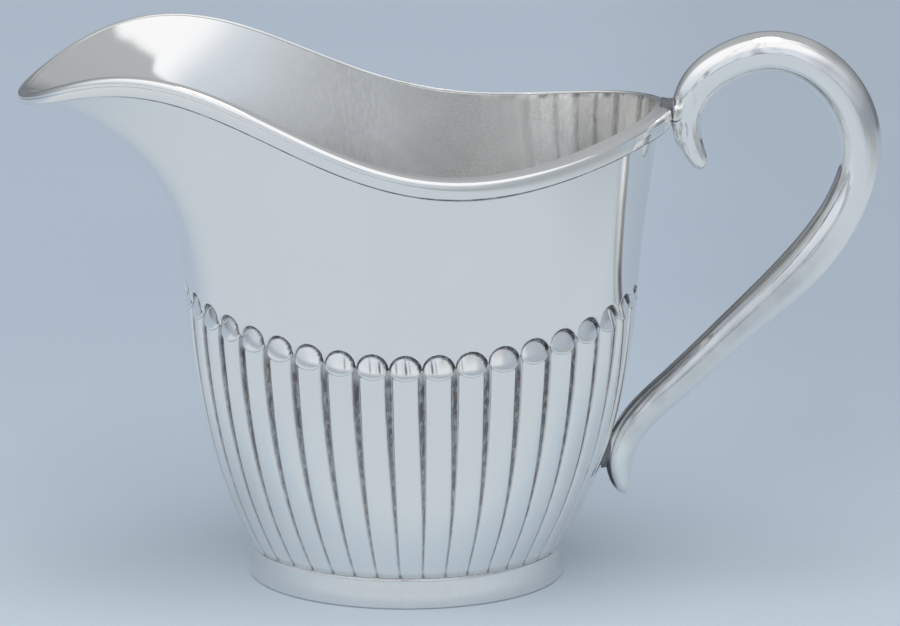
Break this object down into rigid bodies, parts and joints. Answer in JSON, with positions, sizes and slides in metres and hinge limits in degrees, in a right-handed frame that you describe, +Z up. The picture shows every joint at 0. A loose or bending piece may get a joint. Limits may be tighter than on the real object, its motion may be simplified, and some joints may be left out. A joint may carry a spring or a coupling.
{
  "type": "creamer",
  "caption": "Helmet shaped silver cream jug with a half reeded body, saddle rim, drooping pouring lip, plain oval foot and hollow loop handle, for serving cream at table.",
  "frame": {"origin": "on the table, under the middle of the whole length from lip to handle", "axes": "+Z up, +X from the lip towards the handle, +Y to the right hand of a person who pours"},
  "size_m": [0.1492, 0.0768, 0.0964],
  "materials": {
    "body_silver": "polished silver, dark tarnish in the grooves",
    "rim_silver": "polished silver",
    "foot_silver": "polished silver",
    "handle_silver": "polished silver",
    "solder": "rough silver solder, tarnished"
  },
  "bodies": {
    "root": {"body_shell": "body_silver", "rim_moulding": "rim_silver", "foot_ring": "foot_silver", "handle_left_half": "handle_silver", "handle_right_half": "handle_silver", "upper_solder": "solder", "lower_solder": "solder"}
  },
  "joints": []
}
